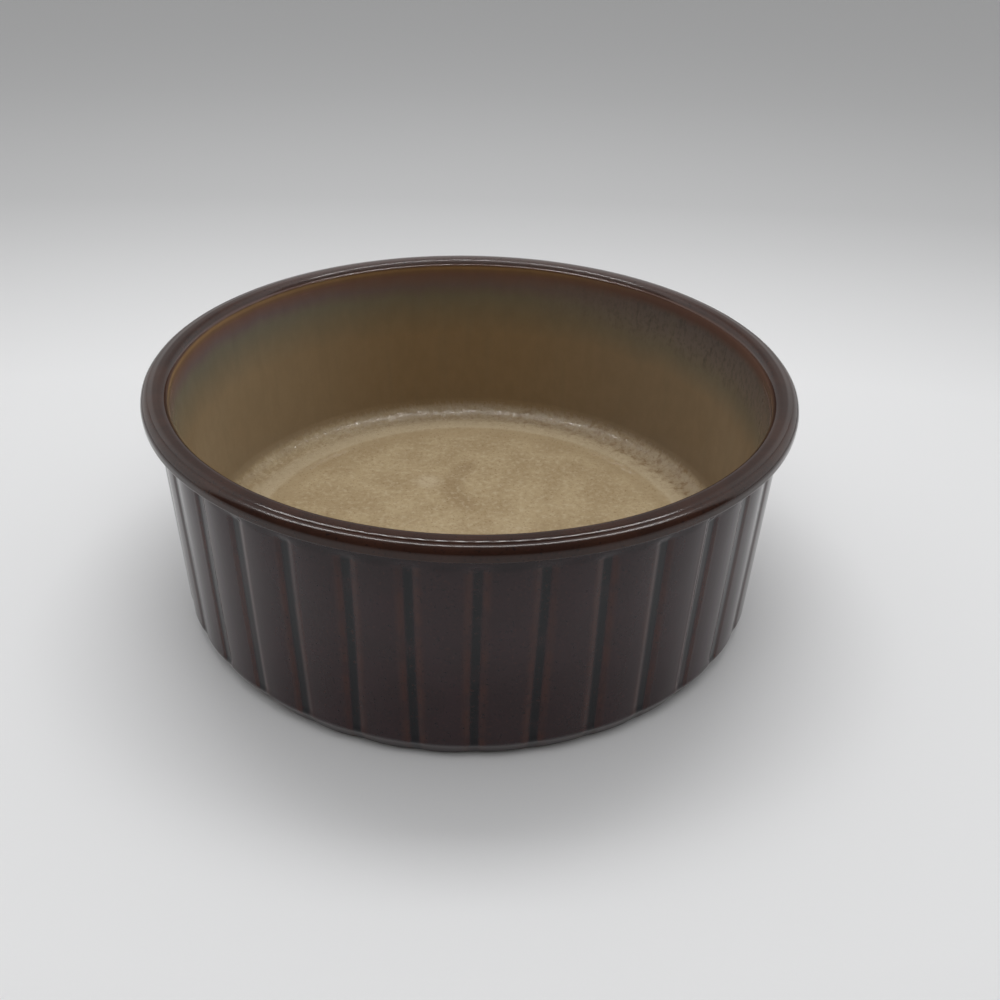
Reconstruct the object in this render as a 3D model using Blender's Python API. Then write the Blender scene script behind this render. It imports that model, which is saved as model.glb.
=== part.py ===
"""A round casserole dish in glazed stoneware with a ribbed outer wall, in metres with +Z up.

The clay body is one turned outline whose outer wall is cut by upright flutes. A brown glaze coats
the outside and the rim, and a cream glaze lines the inside. Both coats follow the clay outline.
The origin is the centre of the foot, on the surface that the dish stands on. The front is -Y.
"""

import math

import bmesh
import bpy

# Overall size over the glaze
RIM_RADIUS = 0.1000
HEIGHT = 0.0765

# Rim
RIM_OVERHANG = 0.00375  # reach of the rim past the plain band below it
RIM_THICKNESS = 0.0048  # top of the rim to its underside
RIM_SHOULDER = 0.0016  # round of the outer edge, above
RIM_HEM = 0.0007  # round of the outer edge, below
RIM_ROUND = 0.00245  # round of the inner edge
COVE_RADIUS = 0.0014  # hollow between the plain band and the underside of the rim

# Outer wall
RIB_TOP_DROP = 0.0087  # top of the rim to the top of the ribs
RECESS_WIDTH = 0.0018  # line cut round the dish above the ribs
RECESS_DEPTH = 0.0002
OUTER_DRAFT = math.radians(1.70)
HEEL_HEIGHT = 0.0063  # where the wall turns in to the foot
HEEL_ROUND = 0.0008
HEEL_INSET = 0.00315  # foot behind the wall

# Flutes between the ribs
FLUTE_COUNT = 36
FLUTE_PHASE = math.radians(1.07)  # one flute stands this far to the right of the front
FLUTE_DEPTH = 0.0006
FLUTE_FLOOR = 0.0014
FLUTE_MOUTH = 0.0064
RIB_CROWN = 0.0003  # middle of a rib above its sides
FOOT_SCALLOP = 0.0003  # depth of a flute where it runs out in the foot

# Inside
CLAY_WALL = 0.0025  # clay left behind a flute at the rim
INNER_DRAFT = math.radians(1.8)
FLOOR_THICKNESS = 0.0068
FLOOR_FILLET = 0.00735
RING_MARGIN = 0.0075  # floor fillet to the top of the faint ring in the floor
RING_SLOPE = 0.0030
RING_RISE = 0.0006

# Foot
FOOT_WIDTH = 0.0055
FOOT_SLOPE = 0.0015
FOOT_RECESS = 0.0042

# Glazes
GLAZE = 0.0003
SEAT = 0.00005  # clearance between clay and glaze
GLAZE_LINE = 0.0008  # bare clay below this height
LIP_REACH = 0.0055  # brown glaze inside the rim, below its top
SEAM = 0.0001  # clearance between the two glazes

# Fineness of the meshes
PLAIN_COLUMNS = 72
FILLET_STEPS = 4
EDGE_STEPS = 4
COVE_STEPS = 2
SHARP_ANGLE = math.radians(35)

# Looks: colour, roughness and weight of the clear coat
CLAY_LOOK = ((0.20, 0.17, 0.145), 0.85, 0)
BROWN_LOOK = ((0.045, 0.024, 0.020), 0.12, 0.5)
CREAM_LOOK = ((0.40, 0.29, 0.17), 0.18, 0.4)


def clear_scene():
    for item in list(bpy.data.objects):
        bpy.data.objects.remove(item, do_unlink=True)


def station(radius, height, depth=None):
    """A point of the outline. With a depth, its ring has the columns of the flutes."""
    return {"radius": radius, "height": height, "depth": depth}


def arc(radius, height, size, start, end, steps):
    """Stations along an arc about (radius, height), from one angle in degrees to another."""
    found = []
    for step in range(steps + 1):
        angle = math.radians(start + (end - start) * step / steps)
        found.append(station(radius + size * math.cos(angle), height + size * math.sin(angle)))
    return found


def clay_outline():
    """Runs of stations from the middle of the underside, round the outside, to the middle of the floor."""
    coat = GLAZE + SEAT
    rim_radius = RIM_RADIUS - coat
    rim_top = HEIGHT - coat
    band_radius = rim_radius - RIM_OVERHANG
    rib_top = HEIGHT - RIB_TOP_DROP

    def crest(height):
        return band_radius - (rib_top - height) * math.tan(OUTER_DRAFT)

    heel_radius = crest(HEEL_HEIGHT)
    foot_radius = heel_radius - HEEL_INSET

    def heel_slope(height):
        return foot_radius + HEEL_INSET * height / HEEL_HEIGHT

    underside = [
        station(foot_radius - FOOT_WIDTH - FOOT_SLOPE, FOOT_RECESS),
        station(foot_radius - FOOT_WIDTH, 0),
        station(foot_radius, 0, FOOT_SCALLOP),
    ]

    heel_low = HEEL_HEIGHT - HEEL_ROUND
    heel_high = HEEL_HEIGHT + HEEL_ROUND
    cove = min(COVE_RADIUS, RIM_OVERHANG - RIM_HEM)
    rim_underside = rim_top - RIM_THICKNESS
    outside = [
        station(heel_slope(GLAZE_LINE), GLAZE_LINE, FOOT_SCALLOP),
        station(heel_slope(heel_low), heel_low, FOOT_SCALLOP),
        station(crest(heel_high), heel_high, FLUTE_DEPTH),
        station(crest(rib_top), rib_top, FLUTE_DEPTH),
        station(band_radius - RECESS_DEPTH, rib_top + RECESS_WIDTH / 2, FLUTE_DEPTH - RECESS_DEPTH),
        station(band_radius, rib_top + RECESS_WIDTH),
    ]
    outside += arc(band_radius + cove, rim_underside - cove, cove, 180, 90, COVE_STEPS)
    outside += arc(rim_radius - RIM_HEM, rim_underside + RIM_HEM, RIM_HEM, -90, 0, COVE_STEPS)
    outside += arc(rim_radius - RIM_SHOULDER, rim_top - RIM_SHOULDER, RIM_SHOULDER, 0, 90, EDGE_STEPS)

    inner_radius = band_radius - FLUTE_DEPTH - CLAY_WALL
    inner_top = rim_top - RIM_ROUND

    def inner_wall(height):
        return inner_radius - (inner_top - height) * math.tan(INNER_DRAFT)

    lip_end = HEIGHT - LIP_REACH
    outside += arc(inner_radius + RIM_ROUND, inner_top, RIM_ROUND, 90, 180, EDGE_STEPS)
    outside.append(station(inner_wall(lip_end), lip_end))

    floor = FOOT_RECESS + FLOOR_THICKNESS
    ring_top = floor + RING_RISE
    fillet_height = ring_top + FLOOR_FILLET
    fillet_radius = inner_wall(fillet_height) - FLOOR_FILLET
    liner_top = lip_end - SEAM
    inside = [station(inner_wall(liner_top), liner_top)]
    inside += arc(fillet_radius, fillet_height, FLOOR_FILLET, 0, -90, FILLET_STEPS)
    inside.append(station(fillet_radius - RING_MARGIN, ring_top))
    inside.append(station(fillet_radius - RING_MARGIN - RING_SLOPE, floor))
    return underside, outside, inside


def unit_normal(first, second):
    """Unit normal of a straight stretch of the outline, on the side away from the clay."""
    along_radius = second["radius"] - first["radius"]
    along_height = second["height"] - first["height"]
    length = math.hypot(along_radius, along_height)
    return along_height / length, -along_radius / length


def coated(stations, distance, before, after):
    """The stations moved away from the clay, with the neighbours that the run has in the outline."""
    run = [before] + stations + [after]
    moved = []
    for index in range(1, len(run) - 1):
        here = run[index]
        first = unit_normal(run[index - 1], here)
        second = unit_normal(here, run[index + 1])
        stretch = distance / (1 + first[0] * second[0] + first[1] * second[1])
        radius = here["radius"] + stretch * (first[0] + second[0])
        height = here["height"] + stretch * (first[1] + second[1])
        moved.append(station(radius, height, here["depth"]))
    return moved


def columns(fluted):
    """(angle, share of the flute's depth, share of the crown's drop) round the dish, from the front."""
    if not fluted:
        return [(2 * math.pi * index / PLAIN_COLUMNS, 0, 0) for index in range(PLAIN_COLUMNS)]
    wall_radius = RIM_RADIUS - RIM_OVERHANG
    half_mouth = FLUTE_MOUTH / 2 / wall_radius
    half_floor = FLUTE_FLOOR / 2 / wall_radius
    pitch = 2 * math.pi / FLUTE_COUNT
    section = [
        (-half_mouth, 0, 1),
        (-half_floor, 1, 0),
        (half_floor, 1, 0),
        (half_mouth, 0, 1),
        (pitch / 2, 0, 0),
    ]
    found = []
    for index in range(FLUTE_COUNT):
        middle = FLUTE_PHASE + index * pitch
        found += [(middle + offset, cut, drop) for offset, cut, drop in section]
    return found


def add_ring(mesh, place):
    """A ring of vertices at a station, as (angle, vertex) pairs."""
    ring = []
    fluted = place["depth"] is not None
    for angle, cut, drop in columns(fluted):
        radius = place["radius"]
        if fluted:
            crown = RIB_CROWN * place["depth"] / FLUTE_DEPTH
            radius -= cut * place["depth"] + drop * crown
        point = (radius * math.sin(angle), -radius * math.cos(angle), place["height"])
        ring.append((angle, mesh.verts.new(point)))
    return ring


def join_rings(mesh, first, second):
    """Triangles between two rings, which may have different columns: both are walked by angle."""
    turn = 2 * math.pi
    first = first + [(first[0][0] + turn, first[0][1])]
    second = second + [(second[0][0] + turn, second[0][1])]
    at_first = 0
    at_second = 0
    while at_first < len(first) - 1 or at_second < len(second) - 1:
        first_done = at_first == len(first) - 1
        second_done = at_second == len(second) - 1
        here = first[at_first][1]
        there = second[at_second][1]
        if second_done or (not first_done and first[at_first + 1][0] <= second[at_second + 1][0]):
            at_first += 1
            corner = first[at_first][1]
        else:
            at_second += 1
            corner = second[at_second][1]
        mesh.faces.new((here, corner, there))


def add_surface(mesh, stations):
    """The surface through the stations. Returns its first and last rings."""
    rings = [add_ring(mesh, place) for place in stations]
    for first, second in zip(rings, rings[1:]):
        join_rings(mesh, first, second)
    return rings[0], rings[-1]


def add_disc(mesh, ring):
    mesh.faces.new([vertex for _, vertex in ring])


def finish_object(mesh, name, parent, material):
    bmesh.ops.recalc_face_normals(mesh, faces=mesh.faces)
    data = bpy.data.meshes.new(name)
    mesh.to_mesh(data)
    mesh.free()
    data.shade_smooth()
    data.set_sharp_from_angle(angle=SHARP_ANGLE)
    data.materials.append(material)
    item = bpy.data.objects.new(name, data)
    item.parent = parent
    bpy.context.scene.collection.objects.link(item)


def make_material(name, colour, roughness, coat):
    material = bpy.data.materials.new(name)
    material.use_nodes = True
    shader = material.node_tree.nodes["Principled BSDF"]
    shader.inputs["Base Color"].default_value = (*colour, 1)
    shader.inputs["Roughness"].default_value = roughness
    shader.inputs["Metallic"].default_value = 0
    shader.inputs["Coat Weight"].default_value = coat
    return material


def make_body(parent, underside, outside, inside):
    mesh = bmesh.new()
    under_ring, floor_ring = add_surface(mesh, underside + outside + inside)
    add_disc(mesh, under_ring)
    add_disc(mesh, floor_ring)
    finish_object(mesh, "stoneware_body", parent, make_material("fired_clay", *CLAY_LOOK))


def make_outer_glaze(parent, underside, outside, inside):
    mesh = bmesh.new()
    neighbours = (underside[-1], inside[0])
    back_low, back_high = add_surface(mesh, coated(outside, SEAT, *neighbours))
    face_low, face_high = add_surface(mesh, coated(outside, SEAT + GLAZE, *neighbours))
    join_rings(mesh, back_low, face_low)
    join_rings(mesh, back_high, face_high)
    finish_object(mesh, "outer_glaze", parent, make_material("brown_glaze", *BROWN_LOOK))


def make_liner_glaze(parent, outside, inside):
    mesh = bmesh.new()
    neighbours = (outside[-1], station(0, inside[-1]["height"]))
    back_top, back_floor = add_surface(mesh, coated(inside, SEAT, *neighbours))
    face_top, face_floor = add_surface(mesh, coated(inside, SEAT + GLAZE, *neighbours))
    join_rings(mesh, back_top, face_top)
    add_disc(mesh, back_floor)
    add_disc(mesh, face_floor)
    finish_object(mesh, "liner_glaze", parent, make_material("cream_glaze", *CREAM_LOOK))


def main():
    clear_scene()
    dish = bpy.data.objects.new("casserole_dish", None)
    bpy.context.scene.collection.objects.link(dish)
    underside, outside, inside = clay_outline()
    make_body(dish, underside, outside, inside)
    make_outer_glaze(dish, underside, outside, inside)
    make_liner_glaze(dish, outside, inside)


main()
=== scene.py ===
"""Dresses the ribbed casserole dish in its glazes, under soft light, at the photograph's angle.

Lengths are in metres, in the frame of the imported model. Angles round the dish start at the front,
-Y, and grow towards +X. Outlines are (radius, height) points, in the order in which a surface runs
from the foot up the outside, over the rim and down the inside.
"""

import math

import bpy
import numpy as np
from mathutils import Matrix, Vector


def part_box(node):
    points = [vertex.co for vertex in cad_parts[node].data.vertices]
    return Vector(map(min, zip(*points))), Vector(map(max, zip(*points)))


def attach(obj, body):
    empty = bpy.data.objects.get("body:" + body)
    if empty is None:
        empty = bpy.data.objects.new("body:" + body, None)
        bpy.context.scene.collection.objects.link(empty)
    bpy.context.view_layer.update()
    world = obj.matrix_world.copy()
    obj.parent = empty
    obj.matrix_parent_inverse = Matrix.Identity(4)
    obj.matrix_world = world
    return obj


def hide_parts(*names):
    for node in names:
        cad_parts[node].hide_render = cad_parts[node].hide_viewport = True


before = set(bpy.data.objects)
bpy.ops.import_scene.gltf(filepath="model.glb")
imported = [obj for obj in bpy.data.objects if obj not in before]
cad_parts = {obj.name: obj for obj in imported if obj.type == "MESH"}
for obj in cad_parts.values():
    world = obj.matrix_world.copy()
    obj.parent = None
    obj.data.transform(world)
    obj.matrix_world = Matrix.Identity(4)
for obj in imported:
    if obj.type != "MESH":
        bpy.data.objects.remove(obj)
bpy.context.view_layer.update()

MM = 0.001

# Overall size, from the frame
WAVE_ROOM = 0.05 * MM  # keeps the uneven rim inside the frame's box
GLAZE_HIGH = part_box("outer_glaze")[1]
RIM_RADIUS = GLAZE_HIGH[0] - WAVE_ROOM
HEIGHT = GLAZE_HIGH[2]
LIP_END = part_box("liner_glaze")[1][2]

# Rim
CROWN = 2.6 * MM  # round of the top, falling to a fine crease
CROWN_RADIUS = RIM_RADIUS - 4.03 * MM
CROWN_TILT = 40  # degrees from level at the crease
CREASE_ENDS = math.radians(56), math.radians(74)  # it fades out between these angles from the front
FILL_TILT = CROWN_TILT / 3  # where the crease is filled, the crown ends at this tilt
FILL_DEPTH = CROWN / 4  # no point further below the bead's top than this is filled
BEAD = 2.5 * MM  # round outside the crease, down to the outer face
BEAD_DROP = 0.37 * MM  # top of the bead below the top of the rim
BEAD_TILT = 6  # degrees from level at the crease
RIM_THICKNESS = 4.8 * MM
RIM_HEM = 0.7 * MM
RIM_ROUND = 2.4 * MM
LEDGE = 0.4 * MM  # step of the inner wall just under the rim
LEDGE_DROP = 2.0 * MM
LEDGE_HEIGHT = 0.4 * MM  # at the back
LEDGE_SOFT = 2.6 * MM  # elsewhere
LEDGE_ENDS = math.radians(105), math.radians(135)  # where the one turns into the other
COVE = 1.4 * MM

# Outer wall
RIM_OVERHANG = 3.75 * MM
RIB_TOP_DROP = 8.7 * MM
NECK_DEPTH = 0.15 * MM  # neck under the rim behind the ribs
RIB_END = 1.8 * MM  # height in which a rib rises out of the neck
OUTER_DRAFT = math.radians(1.70)
HEEL_HEIGHT = 6.3 * MM
HEEL_ROUND = 0.9 * MM
HEEL_INSET = 3.5 * MM

# Flutes, cut by hand, so none is quite like the next
FLUTE_COUNT = 36
FLUTE_PHASE = math.radians(1.07)
FLUTE_DRIFT = math.radians(0.55)  # the spacing is a little wider at the front than at the back
FLUTE_JITTER = math.radians(0.12)
FLUTE_LEAN = math.radians(0.35)
FLUTE_BOW = FLUTE_LEAN / 3  # waver of a flute's middle on its way up
BOW_TURN = 5  # radians of that waver in the height of the dish
FLUTE_DEPTH = 0.5 * MM
DEPTH_SPREAD = 0.06  # share by which the flutes differ in depth
WIDTH_SPREAD = 0.05  # and in width
FLUTE_FLOOR = 1.5 * MM
FLUTE_MOUTH = 6.4 * MM
RIB_CROWN = 0.3 * MM
FOOT_SHARE = 0.45  # depth of a flute below the heel, as a share
HEEL_FADE = 2.0 * MM  # the full depth is reached this far above the heel
SEED = 7

# Inside
INNER_RADIUS = RIM_RADIUS - 7.85 * MM
INNER_DRAFT = math.radians(1.8)
FLOOR_HEIGHT = 11.35 * MM
FLOOR_FILLET = 7.0 * MM
FILLET_START = -2.5  # degrees, where the fillet leaves the drafted wall
RING_MARGIN = 7.5 * MM
RING_SLOPE = 3.0 * MM
RING_RISE = 0.6 * MM

# Foot
FOOT_WIDTH = 5.5 * MM
FOOT_SLOPE = 1.5 * MM
FOOT_RECESS = 4.2 * MM
FOOT_EDGE = 0.4 * MM
FOOT_LEAN = 0.2 * MM  # lean of the ring's inner side at its edge
ROOT_REACH = 2.0 * MM  # the turn from the underside into the ring starts this far in,
ROOT_STEP = 0.5 * MM  # and ends this far out
ROOT_DROP = 1.2 * MM  # and this far down
FOOT_FADE = 2.0 * MM  # the flutes' scallops fade out in this width of the ring
CAP_RADIUS = 1.5 * MM  # flat cap in the middle of the underside and of the floor

# Glazes
GLAZE = 0.30 * MM
COAT = 0.35 * MM  # glaze with its clearance to the clay
GLAZE_LINE = 0.8 * MM
GLAZE_WAVE = 0.12 * MM  # the lower edge of the glaze wanders this far
SEAM = 0.01 * MM
POOL_EDGE = 0.8 * MM, 1.5 * MM  # from the middle of a flute
NECK_POOL = 0.35  # share of pooled glaze on the neck
SHOULDER_START = 0.9 * MM, 1.8 * MM  # thin glaze beside a flute, from its middle
SHOULDER_END = 2.2 * MM, 4.2 * MM

# Unevenness of hand work
WALL_WAVE = 0.05 * MM

# Fineness of the meshes
FLUTE_COLUMNS = 22  # across one flute
RIB_COLUMNS = 6  # from one flute to the next
LINER_COLUMNS = 240
COLUMN_REACH = 0.7  # the close columns reach this share of a flute's mouth to each side
ROWS_LOW = 4.0 * MM  # rows stand close for this height above the heel,
ROWS_HIGH = 3.0 * MM  # and from this far below the ribs' tops
ROWS_PAST = 0.6 * MM  # to this far above them
SHARP_ANGLE = math.radians(40)

# Camera, as fitted to the outlines of the rim, the wall and the foot
FRAME_PIXELS = 1000
FOCAL_PIXELS = 1070
SENSOR = 36
CAMERA_DISTANCE = 3.04449 * RIM_RADIUS
CAMERA_HEIGHT = 2.21097 * RIM_RADIUS
CAMERA_PITCH = 0.56967
CAMERA_YAW = 0.03207
CAMERA_ROLL = 0.0300


def smooth(value, low, high):
    """A share that rises smoothly from 0 at low to 1 at high."""
    share = np.clip((value - low) / (high - low), 0, 1)
    return share * share * (3 - 2 * share)


def arc(radius, height, size, start, end, steps):
    """Points along an arc about (radius, height), from one angle in degrees to another."""
    angles = np.radians(np.linspace(start, end, steps + 1))
    return np.column_stack((radius + size * np.cos(angles), height + size * np.sin(angles)))


def line(first, second, steps):
    """Points along a straight stretch, both ends left out."""
    shares = np.linspace(0, 1, steps + 2)[1:-1, None]
    return np.array(first) + shares * (np.array(second) - np.array(first))


def bend(first, corner, second, steps):
    """Points along a smooth turn that starts at first, heads for the corner and ends at second."""
    share = np.linspace(0, 1, steps + 1)[:, None]
    first, corner, second = np.array(first), np.array(corner), np.array(second)
    return (1 - share) ** 2 * first + 2 * share * (1 - share) * corner + share**2 * second


def inward(points, distance):
    """An outline moved into the clay."""
    along = np.gradient(points, axis=0)
    along /= np.linalg.norm(along, axis=1)[:, None]
    return points - distance * np.column_stack((along[:, 1], -along[:, 0]))


# Outlines

RIB_TOP = HEIGHT - RIB_TOP_DROP
WALL_RADIUS = RIM_RADIUS - RIM_OVERHANG


def crest(height):
    """Radius of the ribs' crests at a height."""
    return WALL_RADIUS - (RIB_TOP - height) * math.tan(OUTER_DRAFT)


HEEL_RADIUS = crest(HEEL_HEIGHT)


def heel_slope(height):
    """Radius of the slope below the heel at a height."""
    return HEEL_RADIUS - HEEL_INSET * (1 - height / HEEL_HEIGHT)


def inner_wall(height):
    """Radius of the inner wall at a height."""
    return INNER_RADIUS - (HEIGHT - RIM_ROUND - height) * math.tan(INNER_DRAFT)


def heel_outline(start):
    """From a height on the heel's slope, round the heel."""
    low = HEEL_HEIGHT - HEEL_ROUND
    high = HEEL_HEIGHT + HEEL_ROUND
    first = (heel_slope(start), start)
    turn = bend((heel_slope(low), low), (HEEL_RADIUS, HEEL_HEIGHT), (crest(high), high), 6)
    return np.vstack(([first], line(first, turn[0], 5), turn))


def wall_outline():
    """The ribbed wall and the neck, between the heel and the cove under the rim."""
    low = HEEL_HEIGHT + HEEL_ROUND
    neck = HEIGHT - RIM_THICKNESS - COVE
    foot_rows = low + ROWS_LOW
    head_rows = RIB_TOP - ROWS_HIGH
    above = RIB_TOP + ROWS_PAST
    heights = np.concatenate((
        np.linspace(low, foot_rows, 6)[1:],
        np.linspace(foot_rows, head_rows, 22)[1:],
        np.linspace(head_rows, above, 19)[1:],
        np.linspace(above, neck, 5)[1:-1],
    ))
    return np.column_stack((crest(heights), heights))


def rim_outline():
    """Cove, hem, outer face, bead, crease and crowned top of the rim."""
    underside = HEIGHT - RIM_THICKNESS
    cove = arc(crest(underside - COVE) + COVE - NECK_DEPTH, underside - COVE, COVE, 180, 90, 6)
    hem = arc(RIM_RADIUS - RIM_HEM, underside + RIM_HEM, RIM_HEM, -90, 0, 6)
    bead = arc(RIM_RADIUS - BEAD, HEIGHT - BEAD_DROP - BEAD, BEAD, 0, 90 - BEAD_TILT, 20)
    crown = arc(CROWN_RADIUS, HEIGHT - CROWN, CROWN, 90 - CROWN_TILT, 90, 14)
    return np.vstack((
        cove,
        line(cove[-1], hem[0], 2),
        hem,
        line(hem[-1], bead[0], 3),
        bead,
        crown,
    ))


def from_front(angles):
    """Angles from the front, to either side."""
    return np.abs((angles + math.pi) % (2 * math.pi) - math.pi)


def crease_fill(outline, angles):
    """Heights that fill the crease away from the front, up to a straight line from bead to crown."""
    radius, height = outline.T
    crown_end = CROWN_RADIUS + CROWN * math.sin(math.radians(FILL_TILT))
    crown_level = HEIGHT - CROWN + CROWN * math.cos(math.radians(FILL_TILT))
    bead_start = RIM_RADIUS - BEAD + BEAD * math.sin(math.radians(BEAD_TILT))
    bead_level = HEIGHT - BEAD_DROP - BEAD + BEAD * math.cos(math.radians(BEAD_TILT))
    chord = np.interp(radius, (crown_end, bead_start), (crown_level, bead_level))
    hollow = (radius > crown_end) & (radius < bead_start) & (height > bead_level - FILL_DEPTH)
    lift = np.where(hollow, np.maximum(chord - height, 0), 0)
    return lift[:, None] * smooth(from_front(angles), *CREASE_ENDS)


def lip_outline(ledge_height):
    """The inner round of the rim, a small ledge and the wall below it to the end of the lip."""
    top = LIP_END + SEAM
    turn = arc(INNER_RADIUS + LEDGE + RIM_ROUND, HEIGHT - RIM_ROUND, RIM_ROUND, 90, 180, 24)
    heights = np.linspace(HEIGHT - RIM_ROUND, top, 24)[1:]
    points = np.vstack((turn, np.column_stack((inner_wall(heights) + LEDGE, heights))))
    ledge = HEIGHT - LEDGE_DROP
    half = ledge_height / 2
    points[:, 0] -= LEDGE * (1 - smooth(points[:, 1], ledge - half, ledge + half))
    return points


def liner_outline():
    """The inner wall from the seam down, the fillet, the faint ring and the floor."""
    ring_top = FLOOR_HEIGHT + RING_RISE
    fillet_height = ring_top + FLOOR_FILLET
    fillet_radius = inner_wall(fillet_height) - FLOOR_FILLET
    first = (inner_wall(LIP_END), LIP_END)
    fillet = arc(fillet_radius, fillet_height, FLOOR_FILLET, FILLET_START, -90, 22)
    ring_end = fillet_radius - RING_MARGIN
    across = np.linspace(ring_end, ring_end - RING_SLOPE, 9)
    fall = smooth(across, ring_end - RING_SLOPE, ring_end)
    slope = np.column_stack((across, FLOOR_HEIGHT + RING_RISE * fall))
    centre = (CAP_RADIUS, FLOOR_HEIGHT)
    return np.vstack((
        [first],
        line(first, fillet[0], 22),
        fillet,
        line(fillet[-1], slope[0], 2),
        slope,
        line(slope[-1], centre, 30),
        [centre],
    ))


RING_RADIUS = inner_wall(FLOOR_HEIGHT + RING_RISE + FLOOR_FILLET) - FLOOR_FILLET - RING_MARGIN


def foot_outline():
    """The bare underside and foot ring, from near the middle outwards, up to just under the glaze."""
    foot = heel_slope(0) - COAT
    inner = foot - FOOT_WIDTH
    wide = inner - FOOT_SLOPE
    outer_edge = bend((foot - FOOT_EDGE, 0), (foot, 0), (heel_slope(FOOT_EDGE) - COAT, FOOT_EDGE), 4)
    inner_edge = bend((inner - FOOT_LEAN, FOOT_EDGE), (inner, 0), (inner + FOOT_EDGE, 0), 4)
    root_end = (wide + ROOT_STEP, FOOT_RECESS - ROOT_DROP)
    root = bend((wide - ROOT_REACH, FOOT_RECESS), (wide, FOOT_RECESS), root_end, 5)
    centre = (CAP_RADIUS, FOOT_RECESS)
    return np.vstack((
        [centre],
        line(centre, root[0], 60),
        root,
        line(root[-1], inner_edge[0], 2),
        inner_edge,
        line(inner_edge[-1], outer_edge[0], 5),
        outer_edge,
    ))


# Meshes

random = np.random.default_rng(SEED)
FLUTE_SHIFTS = random.normal(0, FLUTE_JITTER, FLUTE_COUNT)
FLUTE_LEANS = random.normal(0, FLUTE_LEAN, FLUTE_COUNT)
FLUTE_DEPTHS = 1 + random.normal(0, DEPTH_SPREAD, FLUTE_COUNT)
FLUTE_WIDTHS = 1 + random.normal(0, WIDTH_SPREAD, FLUTE_COUNT)
FLUTE_BOWS = random.uniform(0, 2 * math.pi, FLUTE_COUNT)


def column_angles():
    """Angles of the mesh's columns: close together across each flute, further apart on the ribs."""
    nominal = FLUTE_PHASE + np.arange(FLUTE_COUNT) * 2 * math.pi / FLUTE_COUNT
    middles = nominal + FLUTE_DRIFT * np.sin(nominal) + FLUTE_SHIFTS
    reach = COLUMN_REACH * FLUTE_MOUTH / WALL_RADIUS
    angles = []
    for middle, following in zip(middles, [*middles[1:], middles[0] + 2 * math.pi]):
        angles.extend(np.linspace(middle - reach, middle + reach, FLUTE_COLUMNS, endpoint=False))
        angles.extend(np.linspace(middle + reach, following - reach, RIB_COLUMNS, endpoint=False))
    return np.array(angles)


def flute_section(angles, heights):
    """(distance from the flute's middle, index of the flute) on a grid of heights by angles."""
    pitch = 2 * math.pi / FLUTE_COUNT
    index = np.rint((angles - FLUTE_PHASE) / pitch).astype(int) % FLUTE_COUNT
    nominal = FLUTE_PHASE + index * pitch
    rise = (heights[:, None] - HEIGHT / 2) / HEIGHT
    middle = nominal + FLUTE_DRIFT * np.sin(nominal) + FLUTE_SHIFTS[index] + rise * FLUTE_LEANS[index]
    middle = middle + FLUTE_BOW * np.sin(BOW_TURN * rise + FLUTE_BOWS[index])
    turn = (angles - middle + math.pi) % (2 * math.pi) - math.pi
    return turn * WALL_RADIUS, index


def relief(angles, heights):
    """How far the wall is cut in by the flutes and the neck."""
    distance, index = flute_section(angles, heights)
    width = FLUTE_WIDTHS[index]
    cut = 1 - smooth(np.abs(distance), FLUTE_FLOOR / 2 * width, FLUTE_MOUTH / 2 * width)
    side = FLUTE_MOUTH / 2
    middle = math.pi * WALL_RADIUS / FLUTE_COUNT
    rib = np.clip((np.abs(distance) - side) / (middle - side), 0, 1)
    crown = RIB_CROWN * (1 - rib) ** 2
    above_heel = smooth(heights, HEEL_HEIGHT - HEEL_ROUND, HEEL_HEIGHT + HEEL_FADE)[:, None]
    heel = FOOT_SHARE + (1 - FOOT_SHARE) * above_heel
    flute = (cut * FLUTE_DEPTHS[index] * FLUTE_DEPTH + crown) * heel
    neck = smooth(heights, RIB_TOP - RIB_END, RIB_TOP + RIB_END / 2)[:, None]
    return flute * (1 - neck) + NECK_DEPTH * neck


def glaze_marks(angles, heights):
    """Shares of pooled glaze, in flutes and neck, and of thin glaze, on the flutes' shoulders."""
    distance = np.abs(flute_section(angles, heights)[0])
    below = 1 - smooth(heights, RIB_TOP - RIB_END, RIB_TOP)[:, None]
    pool = (1 - smooth(distance, *POOL_EDGE)) * below + NECK_POOL * (1 - below)
    thin = smooth(distance, *SHOULDER_START) * (1 - smooth(distance, *SHOULDER_END)) * below
    return pool, thin


def wavering(angles, heights):
    """The slow unevenness of a hand-finished wall."""
    rise = heights[:, None] / HEIGHT
    slow = np.sin(2 * angles + 1.3 + 1.5 * rise) + 0.6 * np.sin(5 * angles + 0.4 - 2.2 * rise)
    quick = 0.35 * np.sin(13 * angles + 5 * rise) + 0.3 * np.sin(23 * angles + 2.1 - 7 * rise)
    return WALL_WAVE * (slow + quick)


def turned_points(outline, angles, cuts=None):
    """Points of the outline turned round the dish: rows along the outline, columns round the dish."""
    radius = outline[:, 0][:, None] + np.zeros_like(angles)
    if cuts is not None:
        radius = radius - cuts
    height = outline[:, 1][:, None] + np.zeros_like(angles)
    return np.stack((radius * np.sin(angles), -radius * np.cos(angles), height), axis=-1)


def ring_faces(rows, columns, closed):
    """Quads between the rows of a turned grid. A closed grid also joins its last row to its first."""
    row = np.arange(rows if closed else rows - 1)[:, None]
    column = np.arange(columns)
    following = (column + 1) % columns
    above = (row + 1) % rows
    corners = (
        row * columns + column,
        row * columns + following,
        above * columns + following,
        above * columns + column,
    )
    return np.stack(corners, axis=-1).reshape(-1, 4)


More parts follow.
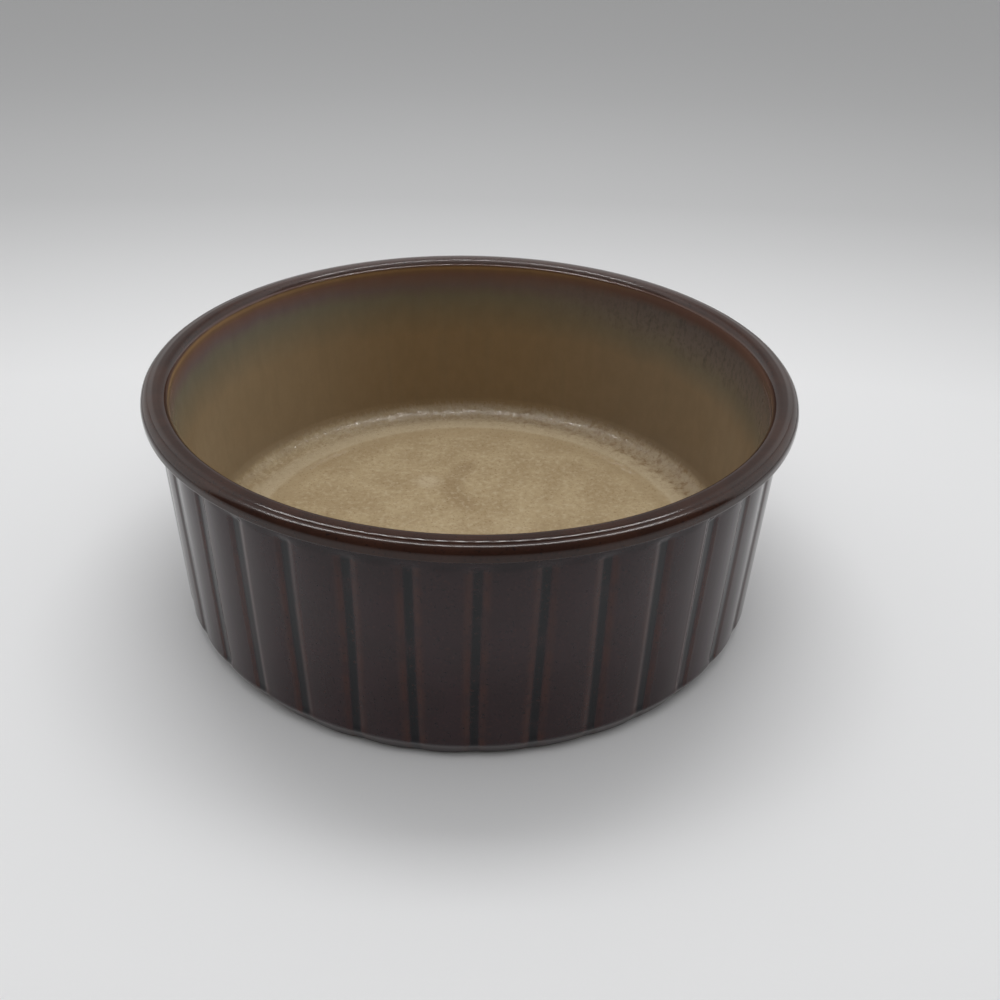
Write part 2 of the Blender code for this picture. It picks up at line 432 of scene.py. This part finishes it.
def make_piece(name, points, closed, node, material, marks=None):
    """A turned piece that stands for a CAD node. An open one is closed by a cap at each end."""
    rows, columns = points.shape[:2]
    faces = ring_faces(rows, columns, closed).tolist()
    if not closed:
        faces.append(list(range(columns))[::-1])
        faces.append(list(range((rows - 1) * columns, rows * columns)))
    mesh = bpy.data.meshes.new(name)
    mesh.from_pydata(points.reshape(-1, 3).tolist(), [], faces)
    for mark, values in (marks or {}).items():
        attribute = mesh.attributes.new(mark, "FLOAT", "POINT")
        attribute.data.foreach_set("value", np.ascontiguousarray(values, dtype=np.float32).ravel())
    mesh.shade_smooth()
    mesh.set_sharp_from_angle(angle=SHARP_ANGLE)
    mesh.materials.append(material)
    piece = bpy.data.objects.new(name, mesh)
    bpy.context.scene.collection.objects.link(piece)
    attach(piece, "root")
    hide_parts(node)
    return piece


def outside_cuts(outline, angles):
    """Cuts into an outside outline: flutes below the cove, the softer ledge on the lip, the waver."""
    cuts = relief(angles, outline[:, 1])
    rim = np.arange(len(outline)) >= len(outline) - len(RIM) - len(LIP)
    cuts[rim] = 0
    cuts[-len(LIP):] = (LIP - LIP_SOFT)[:, :1] * (1 - smooth(from_front(angles), *LEDGE_ENDS))
    return cuts + wavering(angles, outline[:, 1])


HEEL = heel_outline(GLAZE_LINE)
WALL = wall_outline()
RIM = rim_outline()
LIP = lip_outline(LEDGE_HEIGHT)
LIP_SOFT = lip_outline(LEDGE_SOFT)
LINER = liner_outline()
FOOT = foot_outline()
OUTSIDE = np.vstack((HEEL, WALL, RIM, LIP))


def make_outer_glaze(material):
    """The brown coat: a closed skin from above the foot, over the rim, to the seam inside."""
    angles = column_angles()
    cuts = outside_cuts(OUTSIDE, angles)
    face = turned_points(OUTSIDE, angles, cuts)
    waves = np.sin(7 * angles) + 0.7 * np.sin(19 * angles + 1) + 0.5 * np.sin(41 * angles + 2)
    fade = 1 - smooth(OUTSIDE[:, 1], GLAZE_LINE, HEEL_HEIGHT - HEEL_ROUND)
    fade[len(HEEL):] = 0
    edge = fade[:, None] * (GLAZE_WAVE * waves)
    face[..., 2] += edge
    face[..., 2] += crease_fill(OUTSIDE, angles)
    back = turned_points(inward(OUTSIDE, GLAZE), angles, cuts)
    back[..., 2] += edge
    points = np.concatenate((face, back[::-1]))
    pool, thin = glaze_marks(angles, OUTSIDE[:, 1])
    row = np.arange(len(OUTSIDE))[:, None] + np.zeros_like(angles)
    pool[row >= len(OUTSIDE) - len(RIM) - len(LIP)] = 0
    inside = row >= len(OUTSIDE) - len(LIP)
    marks = {}
    for name, values in (("pool", pool), ("thin", thin), ("lip", inside)):
        marks[name] = np.concatenate((values, values[::-1]))
    return make_piece("outer_glaze_coat", points, True, "outer_glaze", material, marks)


def make_liner_glaze(material):
    """The cream coat: a skin from the seam down the inner wall and over the floor."""
    angles = np.linspace(0, 2 * math.pi, LINER_COLUMNS, endpoint=False)
    face = turned_points(LINER, angles)
    back = turned_points(inward(LINER, GLAZE), angles)
    points = np.concatenate((back[::-1], face))
    return make_piece("liner_glaze_coat", points, False, "liner_glaze", material)


def make_clay_body(material):
    """The bare foot, and the clay under both coats."""
    angles = column_angles()
    bare = heel_outline(FOOT_EDGE)[1:]
    bare = bare[bare[:, 1] < GLAZE_LINE]
    outside = np.vstack((bare, OUTSIDE))
    cuts = outside_cuts(outside, angles)
    foot = heel_slope(0) - COAT
    near_edge = smooth(FOOT[:, 0], foot - FOOT_FADE, foot)
    rows = (
        turned_points(FOOT, angles, near_edge[:, None] * cuts[0]),
        turned_points(inward(outside, COAT), angles, cuts),
        turned_points(inward(LINER, COAT), angles),
    )
    points = np.concatenate(rows)
    return make_piece("clay_body", points, False, "stoneware_body", material)


# Materials


class Look:
    """One procedural material, with a short call for each kind of node that the glazes use."""

    def __init__(self, name):
        self.material = bpy.data.materials.new(name)
        self.material.use_nodes = True
        self.tree = self.material.node_tree
        self.shader = self.tree.nodes["Principled BSDF"]
        self.place = self.add("ShaderNodeTexCoord").outputs["Object"]

    def add(self, kind, **settings):
        node = self.tree.nodes.new(kind)
        for name, value in settings.items():
            setattr(node, name, value)
        return node

    def feed(self, socket, value):
        if isinstance(value, bpy.types.NodeSocket):
            self.tree.links.new(value, socket)
        else:
            socket.default_value = value

    def maths(self, operation, first, second=0.0):
        node = self.add("ShaderNodeMath", operation=operation)
        self.feed(node.inputs[0], first)
        self.feed(node.inputs[1], second)
        return node.outputs[0]

    def times(self, first, second):
        return self.maths("MULTIPLY", first, second)

    def plus(self, first, second):
        return self.maths("ADD", first, second)

    def minus(self, first, second):
        return self.maths("SUBTRACT", first, second)

    def mark(self, name):
        """A share that make_piece stored on the mesh."""
        return self.add("ShaderNodeAttribute", attribute_name=name).outputs["Fac"]

    def stretched(self, along):
        node = self.add("ShaderNodeVectorMath", operation="MULTIPLY")
        self.feed(node.inputs[0], self.place)
        self.feed(node.inputs[1], along)
        return node.outputs[0]

    def noise(self, size, detail=2.0, vector=None, roughness=0.5):
        """Noise whose features are about so large, in metres."""
        node = self.add("ShaderNodeTexNoise")
        self.feed(node.inputs["Vector"], vector or self.place)
        self.feed(node.inputs["Scale"], 1 / size)
        self.feed(node.inputs["Detail"], detail)
        self.feed(node.inputs["Roughness"], roughness)
        return node.outputs[0]

    def between(self, value, low, high, first=0.0, second=1.0):
        """A share that rises smoothly from first at low to second at high."""
        node = self.add("ShaderNodeMapRange", interpolation_type="SMOOTHSTEP")
        for socket, setting in zip(node.inputs[:5], (value, low, high, first, second)):
            self.feed(socket, setting)
        return node.outputs[0]

    def blend(self, share, first, second):
        node = self.add("ShaderNodeMix", data_type="RGBA")
        self.feed(node.inputs[0], share)
        for socket, colour in ((node.inputs[6], first), (node.inputs[7], second)):
            self.feed(socket, colour if isinstance(colour, bpy.types.NodeSocket) else (*colour, 1))
        return node.outputs[2]

    def part(self, axis):
        node = self.add("ShaderNodeSeparateXYZ")
        self.feed(node.inputs[0], self.place)
        return node.outputs[axis]

    def across(self):
        return self.part("X")

    def height(self):
        return self.part("Z")

    def tinted(self, colour, tint):
        node = self.add("ShaderNodeVectorMath", operation="MULTIPLY")
        self.feed(node.inputs[0], colour)
        self.feed(node.inputs[1], tint)
        return node.outputs[0]

    def away(self, across, along):
        """Distance from an upright line."""
        node = self.add("ShaderNodeVectorMath", operation="DISTANCE")
        self.feed(node.inputs[0], self.stretched((1, 1, 0)))
        self.feed(node.inputs[1], (across, along, 0))
        return node.outputs["Value"]

    def reach(self):
        """Distance from the turning axis."""
        node = self.add("ShaderNodeVectorMath", operation="LENGTH")
        self.feed(node.inputs[0], self.stretched((1, 1, 0)))
        return node.outputs["Value"]

    def band(self, value, start, full, fade, end):
        """A share that rises from start to full and falls again from fade to end."""
        rise = self.between(value, start, full)
        return self.times(rise, self.between(value, fade, end, 1.0, 0.0))

    def ramp(self, value, stops):
        """A colour that runs through (place, colour) stops, with places from 0 to 1."""
        node = self.add("ShaderNodeValToRGB")
        elements = node.color_ramp.elements
        while len(elements) < len(stops):
            elements.new(0.5)
        for element, (place, colour) in zip(elements, stops):
            element.position = place
            element.color = (*colour, 1)
        self.feed(node.inputs[0], value)
        return node.outputs[0]

    def bump(self, height, depth):
        node = self.add("ShaderNodeBump")
        self.feed(node.inputs["Height"], height)
        self.feed(node.inputs["Strength"], 1.0)
        self.feed(node.inputs["Distance"], depth)
        return node.outputs[0]

    def finish(self, colour, roughness, normal, ior):
        self.feed(self.shader.inputs["Base Color"], colour)
        self.feed(self.shader.inputs["Roughness"], roughness)
        self.feed(self.shader.inputs["Normal"], normal)
        self.shader.inputs["IOR"].default_value = ior
        return self.material


# Colours are shares of linear light. Brown glaze on the rim, on the ribs, beside the flutes and in them
BROWN = (0.042, 0.0180, 0.0118)
BROWN_DARK = (0.030, 0.0138, 0.0098)
# Painted reflection: the pale mauve that the back half of the rim is painted
MAUVE_REFLECTION = (0.100, 0.074, 0.069)
PLUM = (0.031, 0.0138, 0.0163)
BROWN_DEEP = (0.026, 0.0120, 0.0137)
RUST = (0.053, 0.0190, 0.0150)
POOLED = (0.004, 0.004, 0.006)

# Inside from the rim down: on the left, then on the right
UNDER_RIM = (0.085, 0.045, 0.033)
AMBER = (0.255, 0.148, 0.068)
ORANGE = (0.188, 0.104, 0.056)
PURPLE = (0.172, 0.096, 0.070)
GREY = (0.160, 0.113, 0.096)
OLIVE = (0.176, 0.149, 0.098)
OCHRE = (0.214, 0.162, 0.094)
TAN = (0.265, 0.180, 0.094)
RED = (0.142, 0.080, 0.064)
WINE = (0.125, 0.072, 0.060)
SLATE = (0.135, 0.110, 0.101)
GREY_GREEN = (0.168, 0.136, 0.117)
MOSS = (0.188, 0.158, 0.111)
KHAKI = (0.252, 0.184, 0.114)
SPECK = (0.080, 0.074, 0.064)
# Painted light: the inside is painted paler and greyer on the left
LEFT_PAINTED_LIGHT = (1.27, 1.41, 1.66)  # the inside is paler on the left
BAND_DEPTH = 30 * MM  # the colours run through this depth under the rim

# Floor of the dish
CREAM = (0.450, 0.352, 0.214)
CREAM_PALE = (0.540, 0.445, 0.305)
CREAM_BROWN = (0.380, 0.287, 0.168)
CREAM_DARK = (0.300, 0.215, 0.122)
# Painted shade: the darker cream painted by the wall
CREAM_SHADED = (0.370, 0.288, 0.186)
PIT = (0.220, 0.135, 0.065)

# Bare clay
CLAY = (0.200, 0.170, 0.145)
CLAY_DARK = (0.150, 0.122, 0.100)

BROWN_IOR = 1.40
CREAM_IOR = 1.36
CLAY_IOR = 1.5


def inside_colour(look):
    """Colour of the inside by depth under the rim: amber, purple, grey and olive bands down to tan,
    with painted light that makes the left paler.
    """
    waver = look.noise(9 * MM, 3, look.stretched((1, 1, 0.3)))
    depth = look.minus(HEIGHT, look.height())
    reach = look.between(depth, 3 * MM, 10 * MM, 0.4 * MM, 4 * MM)
    depth = look.plus(depth, look.times(look.minus(waver, 0.5), reach))
    to_left = look.between(look.across(), -0.2 * RIM_RADIUS, -0.9 * RIM_RADIUS)
    lower = look.between(depth, 3.5 * MM, 12 * MM, 0, 2 * MM)
    depth = look.plus(depth, look.times(to_left, lower))
    share = look.maths("DIVIDE", depth, BAND_DEPTH)
    left = look.ramp(share, (
        (0.070, UNDER_RIM),
        (0.095, AMBER),
        (0.112, AMBER),
        (0.135, ORANGE),
        (0.19, PURPLE),
        (0.33, GREY),
        (0.48, OLIVE),
        (0.70, OCHRE),
        (1.00, TAN),
    ))
    right = look.ramp(share, (
        (0.065, UNDER_RIM),
        (0.085, RED),
        (0.105, RED),
        (0.16, WINE),
        (0.25, SLATE),
        (0.46, GREY_GREEN),
        (0.70, MOSS),
        (1.00, KHAKI),
    ))
    to_right = look.between(look.across(), 0.1 * RIM_RADIUS, 0.75 * RIM_RADIUS)
    colour = look.blend(to_right, left, right)
    fine = look.noise(1.5 * MM, 4, look.stretched((1, 1, 0.6)), roughness=0.7)
    run = look.noise(2.6 * MM, 2, look.stretched((1, 1, 0.35)))
    dots = look.between(fine, 0.45, 0.64, 0, 0.45)
    speck = look.plus(dots, look.between(run, 0.60, 0.70, 0, 0.35))
    speckled = look.times(look.band(depth, 4 * MM, 7 * MM, 14 * MM, 25 * MM), to_right)
    colour = look.blend(look.times(speck, speckled), colour, SPECK)
    uneven = look.noise(4.5 * MM, 3, look.stretched((1, 1, 0.6)), roughness=0.6)
    colour = look.tinted(colour, look.between(uneven, 0.3, 0.7, 0.97, 1.03))
    # Painted light: the left of the inside is made paler
    return look.tinted(colour, look.blend(to_left, (1, 1, 1), LEFT_PAINTED_LIGHT))


def brown_glaze():
    """Plum ribs, rust and dark pools by the flutes, a brown rim painted paler mauve at the back as a
    reflection, the inside's bands on the lip.
    """
    look = Look("brown_glaze")
    mottle = look.noise(14 * MM, 4)
    wall = look.blend(look.between(mottle, 0.35, 0.65), BROWN_DEEP, PLUM)
    neck = HEIGHT - RIM_THICKNESS
    # Painted reflection: the rim is painted paler mauve towards the back
    reflection_at_back = look.between(look.part("Y"), 0.3 * RIM_RADIUS, 0.9 * RIM_RADIUS)
    rim = look.blend(look.between(mottle, 0.35, 0.65), BROWN_DARK, BROWN)
    rim = look.blend(reflection_at_back, rim, MAUVE_REFLECTION)
    colour = look.blend(look.between(look.height(), neck, neck + RIM_HEM), wall, rim)
    broken = look.between(look.noise(6 * MM, 3), 0.35, 0.6, 0.4, 1.0)
    thin = look.times(look.mark("thin"), broken)
    colour = look.blend(thin, colour, RUST)
    broken = look.between(look.noise(13 * MM, 3), 0.32, 0.48, 0.45, 1.0)
    pool = look.times(look.mark("pool"), broken)
    colour = look.blend(pool, colour, POOLED)
    grain = look.noise(0.9 * MM, 2)
    colour = look.blend(look.between(grain, 0.60, 0.74, 0, 0.6), colour, POOLED)
    colour = look.blend(look.between(grain, 0.40, 0.28, 0, 0.5), colour, RUST)
    depth = look.minus(HEIGHT, look.height())
    inside = look.times(look.mark("lip"), look.between(depth, 1.2 * MM, 2.0 * MM))
    colour = look.blend(inside, colour, inside_colour(look))
    roughness = look.between(look.noise(6 * MM, 3), 0.3, 0.7, 0.08, 0.11)
    bead = look.between(look.reach(), RIM_RADIUS - 2.9 * MM, RIM_RADIUS - 2.2 * MM)
    bead = look.times(bead, look.between(look.height(), HEIGHT - 2 * MM, HEIGHT - 1 * MM))
    roughness = look.plus(roughness, look.times(bead, 0.08))
    ripple = look.times(look.mark("lip"), look.noise(2 * MM, 2))
    swell = look.plus(look.noise(7 * MM, 4), ripple)
    return look.finish(colour, roughness, look.bump(swell, 0.03 * MM), BROWN_IOR)


SWIRL_PLACE = 8 * MM, 33 * MM  # a brown comma left by the glaze in the middle of the floor
SWIRL_RADIUS = 15 * MM
SWIRL_WIDTH = 6 * MM
BLOTCH_PLACE = -16 * MM, 35 * MM  # a pale one beside it


def floor_colour(look):
    """Cream with fine specks: tan inside the ring, pale outside it, pitted by the wall, with painted
    shade by the wall except on the left.
    """
    reach = look.reach()
    cloud = look.noise(13 * MM, 3)
    colour = look.blend(look.between(cloud, 0.35, 0.65, 0, 0.9), CREAM, CREAM_BROWN)
    swirl = look.maths("ABSOLUTE", look.minus(look.away(*SWIRL_PLACE), SWIRL_RADIUS))
    swirl = look.between(swirl, SWIRL_WIDTH, 0.2 * SWIRL_WIDTH, 0, 0.6)
    swirl = look.times(swirl, look.between(look.across(), 4 * MM, -2 * MM))
    colour = look.blend(swirl, colour, CREAM_DARK)
    blotch = look.between(look.away(*BLOTCH_PLACE), 7 * MM, 2 * MM, 0, 0.6)
    colour = look.blend(blotch, colour, CREAM_PALE)
    fleck = look.noise(1.9 * MM, 3, roughness=0.65)
    colour = look.blend(look.between(fleck, 0.50, 0.66, 0, 0.5), colour, CREAM_PALE)
    colour = look.blend(look.between(fleck, 0.47, 0.33, 0, 0.4), colour, CREAM_DARK)
    inside_ring = look.band(
        reach,
        RING_RADIUS - 9 * MM,
        RING_RADIUS - 3 * MM,
        RING_RADIUS - 1 * MM,
        RING_RADIUS + 0.5 * MM,
    )
    colour = look.blend(look.times(inside_ring, 0.6), colour, CREAM_BROWN)
    outside_ring = look.band(
        reach,
        RING_RADIUS - 1 * MM,
        RING_RADIUS + 1 * MM,
        RING_RADIUS + 5 * MM,
        RING_RADIUS + 9 * MM,
    )
    colour = look.blend(look.times(outside_ring, 0.6), colour, CREAM_PALE)
    # Painted shade: darker cream painted by the wall, except on the left
    fillet_shade = look.between(reach, RING_RADIUS + 4 * MM, RING_RADIUS + 9 * MM)
    fillet_shade = look.times(fillet_shade, look.between(look.across(), -0.75 * RIM_RADIUS, -0.1 * RIM_RADIUS))
    colour = look.blend(fillet_shade, colour, CREAM_SHADED)
    by_wall = look.between(reach, RING_RADIUS, RING_RADIUS + 8 * MM)
    to_right = look.between(look.across(), -0.5 * RIM_RADIUS, 0.9 * RIM_RADIUS, 0.15, 1.0)
    pits = look.between(look.noise(2.5 * MM, 4, roughness=0.55), 0.45, 0.70, 0, 0.75)
    pits = look.times(pits, look.times(by_wall, to_right))
    colour = look.blend(pits, colour, PIT)
    specks = look.between(look.noise(0.8 * MM, 2), 0.60, 0.70, 0, 0.5)
    return look.blend(specks, colour, PIT)


def cream_glaze():
    """The inside's bands down the wall, the cream floor, a fillet that shines in spots at the back."""
    look = Look("cream_glaze")
    wall = inside_colour(look)
    streak = look.noise(5 * MM, 4, look.stretched((1, 1, 0.08)))
    wall = look.blend(look.between(streak, 0.50, 0.75, 0, 0.15), wall, OLIVE)
    low = look.between(look.height(), FLOOR_HEIGHT + 3.2 * MM, FLOOR_HEIGHT + 5.2 * MM)
    colour = look.blend(low, floor_colour(look), wall)
    group = look.between(look.noise(11 * MM, 1), 0.35, 0.65, 0.08, -0.08)
    spots = look.minus(look.noise(1.4 * MM, 1, look.stretched((1, 1, 0.4))), group)
    spots = look.between(spots, 0.46, 0.54, 0.42, 0.08)
    by_wall = look.between(look.reach(), RING_RADIUS + 5 * MM, RING_RADIUS + 8 * MM)
    below = look.between(look.height(), FLOOR_HEIGHT + 7 * MM, FLOOR_HEIGHT + 4 * MM)
    behind = look.between(look.part("Y"), 0.25 * RIM_RADIUS, 0.45 * RIM_RADIUS)
    fillet = look.times(look.times(by_wall, below), behind)
    gloss = look.between(look.noise(5 * MM, 3), 0.3, 0.7, 0.10, 0.16)
    roughness = look.plus(gloss, look.times(fillet, look.minus(spots, gloss)))
    swell = look.plus(look.noise(3 * MM, 2), look.times(look.noise(1.3 * MM, 2), 0.5))
    uneven = look.between(look.height(), FLOOR_HEIGHT + 6 * MM, FLOOR_HEIGHT + 20 * MM, 1.0, 0.3)
    uneven = look.plus(uneven, look.times(fillet, 2.0))
    normal = look.bump(look.times(swell, uneven), 0.10 * MM)
    return look.finish(colour, roughness, normal, CREAM_IOR)


def fired_clay():
    """Matt grey-brown clay with dark specks."""
    look = Look("fired_clay")
    colour = look.blend(look.between(look.noise(12 * MM, 4), 0.3, 0.7), CLAY, CLAY_DARK)
    speck = look.between(look.noise(0.7 * MM, 2), 0.66, 0.74, 0, 0.7)
    colour = look.blend(speck, colour, CLAY_DARK)
    grain = look.noise(0.5 * MM, 3)
    roughness = look.between(grain, 0.3, 0.7, 0.75, 0.9)
    return look.finish(colour, roughness, look.bump(grain, 0.08 * MM), CLAY_IOR)


# Stage

FLOOR_COLOUR = (0.82, 0.823, 0.83)
FLOOR_SIZE = 8.0
# Painted shade: distance from the dish's axis, and share of the floor's colour there
FLOOR_PAINTED_SHADES = ((0.16, 1.0), (0.34, 0.79), (0.42, 0.72), (0.75, 0.69), (1.20, 0.70))
SIDE_REACH = 2.5  # the floor greys this many times slower to the sides than to the back
FLOOR_ROUGHNESS = 0.85
FLOOR_IOR = 1.45


def make_floor():
    """A white floor with painted shade that greys it with the distance."""
    mesh = bpy.data.meshes.new("floor")
    half = FLOOR_SIZE / 2
    corners = [(-half, -half, 0), (half, -half, 0), (half, half, 0), (-half, half, 0)]
    mesh.from_pydata(corners, [], [(0, 1, 2, 3)])
    look = Look("floor")
    grain = look.noise(1.2 * MM, 3)
    reach = look.add("ShaderNodeVectorMath", operation="LENGTH")
    look.feed(reach.inputs[0], look.stretched((1 / SIDE_REACH, 1, 0)))
    far = FLOOR_PAINTED_SHADES[-1][0]
    stops = []
    for place, shade in FLOOR_PAINTED_SHADES:
        stops.append((place / far, tuple(shade * part for part in FLOOR_COLOUR)))
    colour = look.ramp(look.maths("DIVIDE", reach.outputs["Value"], far), stops)
    normal = look.bump(grain, 0.02 * MM)
    mesh.materials.append(look.finish(colour, FLOOR_ROUGHNESS, normal, FLOOR_IOR))
    floor = bpy.data.objects.new("floor", mesh)
    bpy.context.scene.collection.objects.link(floor)


def make_panel(name, place, size, power, turn=(0, 0, 0)):
    """A rectangular lamp that the camera doesn't see."""
    data = bpy.data.lights.new(name, "AREA")
    data.shape = "RECTANGLE"
    data.size, data.size_y = size
    data.energy = power
    lamp = bpy.data.objects.new(name, data)
    lamp.location = place
    lamp.rotation_euler = turn
    lamp.visible_camera = False
    bpy.context.scene.collection.objects.link(lamp)
    return lamp


WORLD_LEVEL = 0.60  # even light from all round,
WORLD_FRONT = 0.10  # less of it through the opening at the front
FRONT_EDGE = -0.72, -0.40  # where the one turns into the other, along Y
STUDIO_FRONT = 0.03  # what glossy rays see of the studio: a dark opening at the front,
STUDIO_BACK = 0.39  # a grey back
STUDIO_SIDE = 0.95  # and white sides
OPENING_EDGE = -0.08, 0.08  # along Y
SIDE_EDGE = 0.2, 0.7  # along X

# Two panels that light the dish and show in no reflection
KEY_PLACE = 0, 0.17, 0.72
KEY_SIZE = 0.55, 0.20
KEY_POWER = 2.0
KEY_TURN = math.radians(-10), 0, 0
FILL_PLACE = 0, -0.45, 0.95
FILL_SIZE = 0.9, 0.3
FILL_POWER = 1.8
FILL_TURN = math.radians(25), 0, 0

# A row of narrow lamps that only reflections show, for the glints
LAMP_COUNT = 28
LAMP_SPAN = 0.87
LAMP_BACK = 0.01
LAMP_HEIGHT = 0.60
LAMP_SIZE = 0.008, 0.11
LAMP_POWER = 0.115


def make_world():
    """Even light from all round. Reflections show a dark front, a grey back and white sides."""
    world = bpy.data.worlds.new("studio")
    bpy.context.scene.world = world
    world.use_nodes = True
    nodes = world.node_tree.nodes
    links = world.node_tree.links

    def step(value, low, high, first, second):
        node = nodes.new("ShaderNodeMapRange")
        node.interpolation_type = "SMOOTHSTEP"
        links.new(value, node.inputs[0])
        for socket, setting in zip(node.inputs[1:5], (low, high, first, second)):
            socket.default_value = setting
        return node.outputs[0]

    def maths(operation, first, second=None):
        node = nodes.new("ShaderNodeMath")
        node.operation = operation
        links.new(first, node.inputs[0])
        if second:
            links.new(second, node.inputs[1])
        return node.outputs[0]

    direction = nodes.new("ShaderNodeSeparateXYZ")
    links.new(nodes.new("ShaderNodeTexCoord").outputs["Generated"], direction.inputs[0])
    opening = step(direction.outputs["Y"], *OPENING_EDGE, STUDIO_FRONT, 1.0)
    even = step(direction.outputs["Y"], *FRONT_EDGE, WORLD_FRONT, WORLD_LEVEL)
    walls = step(maths("ABSOLUTE", direction.outputs["X"]), *SIDE_EDGE, STUDIO_BACK, STUDIO_SIDE)
    level = nodes.new("ShaderNodeMix")
    links.new(nodes.new("ShaderNodeLightPath").outputs["Is Glossy Ray"], level.inputs[0])
    links.new(even, level.inputs[2])
    links.new(maths("MULTIPLY", opening, walls), level.inputs[3])
    links.new(level.outputs[0], nodes["Background"].inputs["Color"])


def make_lights():
    make_world()
    key = make_panel("key", KEY_PLACE, KEY_SIZE, KEY_POWER, KEY_TURN)
    fill = make_panel("fill", FILL_PLACE, FILL_SIZE, FILL_POWER, FILL_TURN)
    for panel in (key, fill):
        panel.visible_glossy = False
    for number, place in enumerate(np.linspace(-LAMP_SPAN / 2, LAMP_SPAN / 2, LAMP_COUNT)):
        lamp = make_panel(f"lamp_{number}", (place, LAMP_BACK, LAMP_HEIGHT), LAMP_SIZE, LAMP_POWER)
        lamp.visible_diffuse = False


def make_camera():
    """The fitted camera: turned by its yaw and pitch, then rolled."""
    pitch, yaw, roll = CAMERA_PITCH, CAMERA_YAW, CAMERA_ROLL
    ahead = np.array((
        math.sin(yaw) * math.cos(pitch),
        math.cos(yaw) * math.cos(pitch),
        -math.sin(pitch),
    ))
    level = np.array((math.cos(yaw), -math.sin(yaw), 0))
    upright = np.cross(level, ahead)
    right = math.cos(roll) * level + math.sin(roll) * upright
    up = -math.sin(roll) * level + math.cos(roll) * upright
    place = np.array((0, -CAMERA_DISTANCE, CAMERA_HEIGHT))
    rows = np.column_stack((right, up, -ahead, place)).tolist()
    data = bpy.data.cameras.new("camera")
    data.sensor_fit = "HORIZONTAL"
    data.sensor_width = SENSOR
    data.lens = FOCAL_PIXELS / FRAME_PIXELS * SENSOR
    data.clip_start = 0.01
    camera = bpy.data.objects.new("camera", data)
    camera.matrix_world = Matrix(rows + [[0, 0, 0, 1]])
    bpy.context.scene.collection.objects.link(camera)
    bpy.context.scene.camera = camera


make_camera()
make_lights()
make_floor()
make_outer_glaze(brown_glaze())
make_liner_glaze(cream_glaze())
make_clay_body(fired_clay())
bpy.context.scene.view_settings.view_transform = "Standard"
